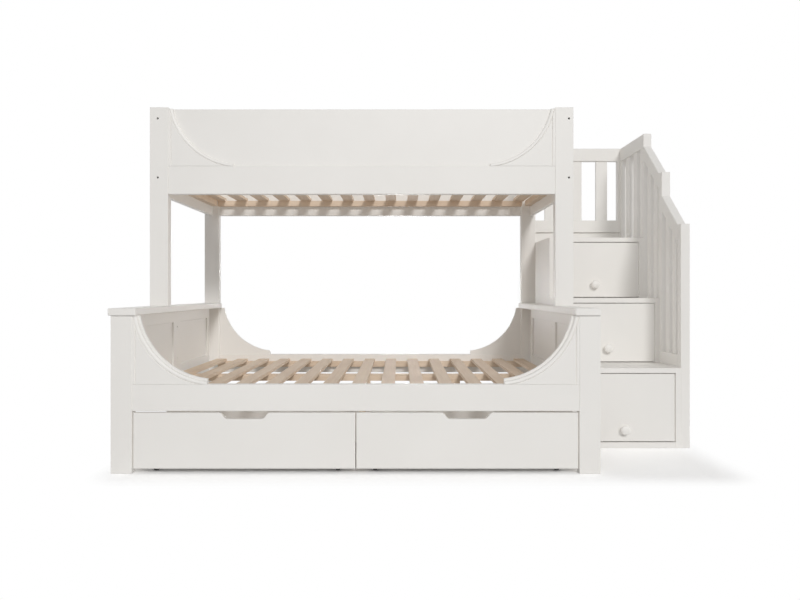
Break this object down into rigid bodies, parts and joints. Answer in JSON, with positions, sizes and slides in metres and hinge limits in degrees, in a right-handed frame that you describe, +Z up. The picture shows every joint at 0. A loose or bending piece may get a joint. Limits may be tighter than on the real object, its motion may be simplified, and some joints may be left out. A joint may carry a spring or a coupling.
{
  "type": "bunk bed with storage stairs",
  "caption": "Bunk bed, single over double, with roll-out drawers below and railed stairs at one end that hold a drawer in each step.",
  "frame": {"origin": "middle of the footprint at floor level, the stairs and their railing included", "axes": "+X along the bed towards the stairs, +Y from the drawer fronts to the back, +Z up"},
  "size_m": [2.568, 1.435, 1.615],
  "materials": {
    "white_paint": "satin white lacquer",
    "bare_wood": "planed, unfinished",
    "steel": "zinc plated",
    "wheel_plastic": "matt"
  },
  "bodies": {
    "frame": {"lower_post_front_left": "white_paint", "lower_post_front_right": "white_paint", "lower_post_back_left": "white_paint", "lower_post_back_right": "white_paint", "lower_rail_front": "white_paint", "lower_rail_back": "white_paint", "lower_end_left": "white_paint", "lower_end_right": "white_paint", "cap_board_left": "white_paint", "cap_board_right": "white_paint", "lower_brackets": "white_paint", "upper_brackets": "white_paint", "upper_post_front_left": "white_paint", "upper_post_front_right": "white_paint", "upper_post_back_left": "white_paint", "upper_post_back_right": "white_paint", "upper_rail_front": "white_paint", "upper_rail_back": "white_paint", "upper_guard_front": "white_paint", "upper_guard_back": "white_paint", "upper_end_left": "white_paint", "upper_end_right": "white_paint", "stair_side_left": "white_paint", "stair_side_right": "white_paint", "stair_base": "white_paint", "stair_back": "white_paint", "stair_tread_1": "white_paint", "stair_tread_2": "white_paint", "stair_tread_3": "white_paint", "railing_posts": "white_paint", "handrails": "white_paint", "railing_bottom_rails": "white_paint", "railing_slats": "white_paint", "back_guard": "white_paint", "lower_battens": "bare_wood", "centre_beam": "bare_wood", "lower_slats": "bare_wood", "upper_battens": "bare_wood", "upper_slats": "bare_wood", "drawer_runners": "bare_wood", "connector_screws": "steel"},
    "drawer_left": {"drawer_left_front": "white_paint", "drawer_left_box": "white_paint", "drawer_left_wheel_forks": "steel"},
    "drawer_left_front_wheels": {"drawer_left_front_wheels": "wheel_plastic"},
    "drawer_left_back_wheels": {"drawer_left_back_wheels": "wheel_plastic"},
    "drawer_right": {"drawer_right_front": "white_paint", "drawer_right_box": "white_paint", "drawer_right_wheel_forks": "steel"},
    "drawer_right_front_wheels": {"drawer_right_front_wheels": "wheel_plastic"},
    "drawer_right_back_wheels": {"drawer_right_back_wheels": "wheel_plastic"},
    "stair_drawer_1": {"stair_drawer_1_front": "white_paint", "stair_drawer_1_box": "white_paint", "stair_drawer_1_knob": "white_paint"},
    "stair_drawer_2": {"stair_drawer_2_front": "white_paint", "stair_drawer_2_box": "white_paint", "stair_drawer_2_knob": "white_paint"},
    "stair_drawer_3": {"stair_drawer_3_front": "white_paint", "stair_drawer_3_box": "white_paint", "stair_drawer_3_knob": "white_paint"}
  },
  "joints": [
    {"name": "drawer_left_slide", "type": "slide", "parent": "frame", "child": "drawer_left", "axis": [0, -1, 0], "range_m": [0, 0.6]},
    {"name": "drawer_left_front_wheels_spin", "type": "hinge", "parent": "drawer_left", "child": "drawer_left_front_wheels", "pos_m": [-0.73075, -0.6405, 0.02], "axis": [1, 0, 0], "continuous": true},
    {"name": "drawer_left_back_wheels_spin", "type": "hinge", "parent": "drawer_left", "child": "drawer_left_back_wheels", "pos_m": [-0.73075, -0.0643, 0.02], "axis": [1, 0, 0], "continuous": true},
    {"name": "drawer_right_slide", "type": "slide", "parent": "frame", "child": "drawer_right", "axis": [0, -1, 0], "range_m": [0, 0.6]},
    {"name": "drawer_right_front_wheels_spin", "type": "hinge", "parent": "drawer_right", "child": "drawer_right_front_wheels", "pos_m": [0.18075, -0.6405, 0.02], "axis": [1, 0, 0], "continuous": true},
    {"name": "drawer_right_back_wheels_spin", "type": "hinge", "parent": "drawer_right", "child": "drawer_right_back_wheels", "pos_m": [0.18075, -0.0643, 0.02], "axis": [1, 0, 0], "continuous": true},
    {"name": "stair_drawer_1_slide", "type": "slide", "parent": "frame", "child": "stair_drawer_1", "axis": [0, -1, 0], "range_m": [0, 0.6]},
    {"name": "stair_drawer_2_slide", "type": "slide", "parent": "frame", "child": "stair_drawer_2", "axis": [0, -1, 0], "range_m": [0, 0.4]},
    {"name": "stair_drawer_3_slide", "type": "slide", "parent": "frame", "child": "stair_drawer_3", "axis": [0, -1, 0], "range_m": [0, 0.25]}
  ],
  "couplings": [
    {"joint": "drawer_left_front_wheels_spin", "follows": "drawer_left_slide", "rad_per_m": 50},
    {"joint": "drawer_left_back_wheels_spin", "follows": "drawer_left_slide", "rad_per_m": 50},
    {"joint": "drawer_right_front_wheels_spin", "follows": "drawer_right_slide", "rad_per_m": 50},
    {"joint": "drawer_right_back_wheels_spin", "follows": "drawer_right_slide", "rad_per_m": 50}
  ]
}
